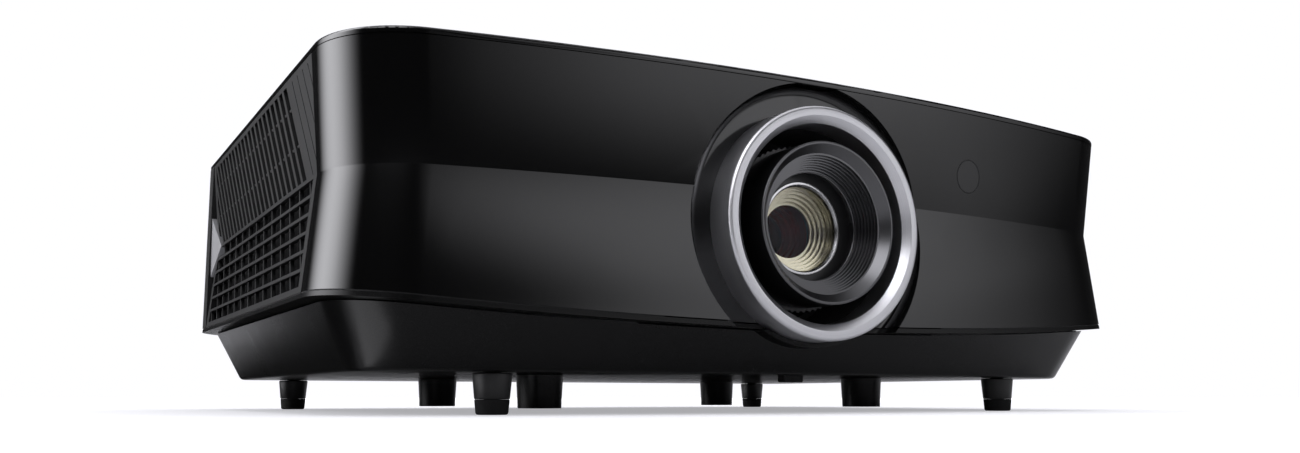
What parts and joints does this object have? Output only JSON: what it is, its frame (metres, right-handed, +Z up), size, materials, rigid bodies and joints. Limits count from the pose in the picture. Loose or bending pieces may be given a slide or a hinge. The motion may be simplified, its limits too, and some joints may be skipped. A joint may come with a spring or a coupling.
{
  "type": "home projector",
  "caption": "Low wide home projector with a gloss front, a round lens bezel, grilled sides and screw feet, for a table or a ceiling mount.",
  "frame": {"origin": "bottom centre of the object's box, on the surface that its foot pads stand on", "axes": "+X to the right seen from the front, +Y from the lens to the rear, +Z up"},
  "size_m": [0.485, 0.386, 0.165],
  "materials": {
    "gloss_black": "gloss black",
    "satin_black": "satin black",
    "grille": "matte dark grey",
    "silver": "satin silver",
    "gunmetal": "brushed gunmetal",
    "well_black": "satin black",
    "dark_window": "gloss black, passes infra-red",
    "lens_black": "black anodised",
    "bright_metal": "bright",
    "glass": "coated",
    "cast_alloy": "cast",
    "heat_sink": "extruded",
    "fan_black": "moulded",
    "phosphor": "phosphor coated",
    "board": "solder mask",
    "key_black": "satin",
    "light": "clear",
    "brass": "plain",
    "foot_black": "satin black",
    "rubber": "matte"
  },
  "bodies": {
    "base": {"top_cover": "gloss_black", "front_panel": "gloss_black", "left_grille": "grille", "right_grille": "grille", "left_wedge": "silver", "right_wedge": "silver", "rear_panel": "grille", "lower_trim": "gloss_black", "base_tub": "satin_black", "remote_window": "dark_window", "lens_bezel": "gunmetal", "lens_well": "well_black", "shift_rods": "bright_metal", "engine_housing": "cast_alloy", "wheel_motor": "fan_black", "laser_module": "cast_alloy", "laser_heat_sink": "heat_sink", "imager_board": "board", "imager_heat_sink": "heat_sink", "fan_frames": "fan_black", "power_supply_board": "board", "main_board": "board", "signal_ports": "bright_metal", "network_port": "bright_metal", "serial_port": "bright_metal", "mains_inlet": "fan_black", "keypad_board": "board", "status_lights": "light", "mount_inserts": "brass", "case_screws": "bright_metal", "tie_bar": "satin_black"},
    "lens_carriage": {"shift_carriage": "cast_alloy", "lens_barrel": "lens_black", "rear_lens": "glass"},
    "focus": {"focus_ring": "lens_black"},
    "front_group": {"front_lens_cell": "lens_black", "front_lens": "glass", "front_lens_retainer": "bright_metal"},
    "zoom": {"zoom_ring": "lens_black"},
    "zoom_group": {"zoom_lens_cell": "lens_black", "zoom_lens": "glass"},
    "shift_dial": {"shift_dial": "key_black"},
    "phosphor_wheel": {"phosphor_wheel": "phosphor"},
    "fan_front": {"fan_rotor_front": "fan_black"},
    "fan_rear": {"fan_rotor_rear": "fan_black"},
    "up_button": {"up_button": "key_black"},
    "down_button": {"down_button": "key_black"},
    "left_button": {"left_button": "key_black"},
    "right_button": {"right_button": "key_black"},
    "enter_button": {"enter_button": "key_black"},
    "power_button": {"power_button": "key_black"},
    "menu_button": {"menu_button": "key_black"},
    "foot_pad_front_left": {"foot_pad_front_left": "rubber"},
    "foot_front_left": {"foot_front_left": "foot_black"},
    "foot_pad_front_right": {"foot_pad_front_right": "rubber"},
    "foot_front_right": {"foot_front_right": "foot_black"},
    "foot_pad_rear_left": {"foot_pad_rear_left": "rubber"},
    "foot_rear_left": {"foot_rear_left": "foot_black"},
    "foot_pad_rear_right": {"foot_pad_rear_right": "rubber"},
    "foot_rear_right": {"foot_rear_right": "foot_black"}
  },
  "joints": [
    {"name": "shift_slide", "type": "slide", "parent": "base", "child": "lens_carriage", "axis": [0, 0, 1], "range_m": [-0.003, 0.003]},
    {"name": "shift_turn", "type": "hinge", "parent": "base", "child": "shift_dial", "pos_m": [0.0565, -0.0871, 0.156], "axis": [0, 0, 1], "range_deg": [-721, 721]},
    {"name": "focus_turn", "type": "hinge", "parent": "lens_carriage", "child": "focus", "pos_m": [-0.0095, -0.17, 0.09225], "axis": [0, 1, 0], "range_deg": [0, 90]},
    {"name": "focus_slide", "type": "slide", "parent": "lens_carriage", "child": "front_group", "axis": [0, 1, 0], "range_m": [0, 0.00401]},
    {"name": "zoom_turn", "type": "hinge", "parent": "lens_carriage", "child": "zoom", "pos_m": [-0.0095, -0.17, 0.09225], "axis": [0, 1, 0], "range_deg": [0, 60]},
    {"name": "zoom_slide", "type": "slide", "parent": "lens_carriage", "child": "zoom_group", "axis": [0, 1, 0], "range_m": [0, 0.01001]},
    {"name": "wheel_spin", "type": "hinge", "parent": "base", "child": "phosphor_wheel", "pos_m": [0.06525, -0.0491, 0.09225], "axis": [1, 0, 0], "continuous": true},
    {"name": "fan_front_spin", "type": "hinge", "parent": "base", "child": "fan_front", "pos_m": [0.202, -0.043, 0.0685], "axis": [1, 0, 0], "continuous": true},
    {"name": "fan_rear_spin", "type": "hinge", "parent": "base", "child": "fan_rear", "pos_m": [0.202, 0.052, 0.0685], "axis": [1, 0, 0], "continuous": true},
    {"name": "up_press", "type": "slide", "parent": "base", "child": "up_button", "axis": [0, 0, -1], "range_m": [0, 0.0005], "stiffness_N_per_m": 600},
    {"name": "down_press", "type": "slide", "parent": "base", "child": "down_button", "axis": [0, 0, -1], "range_m": [0, 0.0005], "stiffness_N_per_m": 600},
    {"name": "left_press", "type": "slide", "parent": "base", "child": "left_button", "axis": [0, 0, -1], "range_m": [0, 0.0005], "stiffness_N_per_m": 600},
    {"name": "right_press", "type": "slide", "parent": "base", "child": "right_button", "axis": [0, 0, -1], "range_m": [0, 0.0005], "stiffness_N_per_m": 600},
    {"name": "enter_press", "type": "slide", "parent": "base", "child": "enter_button", "axis": [0, 0, -1], "range_m": [0, 0.0005], "stiffness_N_per_m": 600},
    {"name": "power_press", "type": "slide", "parent": "base", "child": "power_button", "axis": [0, 0, -1], "range_m": [0, 0.0005], "stiffness_N_per_m": 600},
    {"name": "menu_press", "type": "slide", "parent": "base", "child": "menu_button", "axis": [0, 0, -1], "range_m": [0, 0.0005], "stiffness_N_per_m": 600},
    {"name": "foot_front_left_slide", "type": "slide", "parent": "base", "child": "foot_pad_front_left", "axis": [0, 0, -1], "range_m": [0, 0.01201]},
    {"name": "foot_front_left_turn", "type": "hinge", "parent": "foot_pad_front_left", "child": "foot_front_left", "pos_m": [-0.16, -0.136, 0.015], "axis": [0, 0, -1], "range_deg": [0, 3456]},
    {"name": "foot_front_right_slide", "type": "slide", "parent": "base", "child": "foot_pad_front_right", "axis": [0, 0, -1], "range_m": [0, 0.01201]},
    {"name": "foot_front_right_turn", "type": "hinge", "parent": "foot_pad_front_right", "child": "foot_front_right", "pos_m": [0.16, -0.136, 0.015], "axis": [0, 0, -1], "range_deg": [0, 3456]},
    {"name": "foot_rear_left_slide", "type": "slide", "parent": "base", "child": "foot_pad_rear_left", "axis": [0, 0, -1], "range_m": [0, 0.01201]},
    {"name": "foot_rear_left_turn", "type": "hinge", "parent": "foot_pad_rear_left", "child": "foot_rear_left", "pos_m": [-0.187, 0.16, 0.015], "axis": [0, 0, -1], "range_deg": [0, 3456]},
    {"name": "foot_rear_right_slide", "type": "slide", "parent": "base", "child": "foot_pad_rear_right", "axis": [0, 0, -1], "range_m": [0, 0.01201]},
    {"name": "foot_rear_right_turn", "type": "hinge", "parent": "foot_pad_rear_right", "child": "foot_rear_right", "pos_m": [0.187, 0.16, 0.015], "axis": [0, 0, -1], "range_deg": [0, 3456]}
  ],
  "couplings": [
    {"joint": "shift_turn", "follows": "shift_slide", "rad_per_m": -4188.8},
    {"joint": "focus_slide", "follows": "focus_turn", "m_per_rad": 0.0025465},
    {"joint": "zoom_slide", "follows": "zoom_turn", "m_per_rad": 0.0095493},
    {"joint": "foot_front_left_slide", "follows": "foot_front_left_turn", "m_per_rad": 0.00019894},
    {"joint": "foot_front_right_slide", "follows": "foot_front_right_turn", "m_per_rad": 0.00019894},
    {"joint": "foot_rear_left_slide", "follows": "foot_rear_left_turn", "m_per_rad": 0.00019894},
    {"joint": "foot_rear_right_slide", "follows": "foot_rear_right_turn", "m_per_rad": 0.00019894}
  ]
}
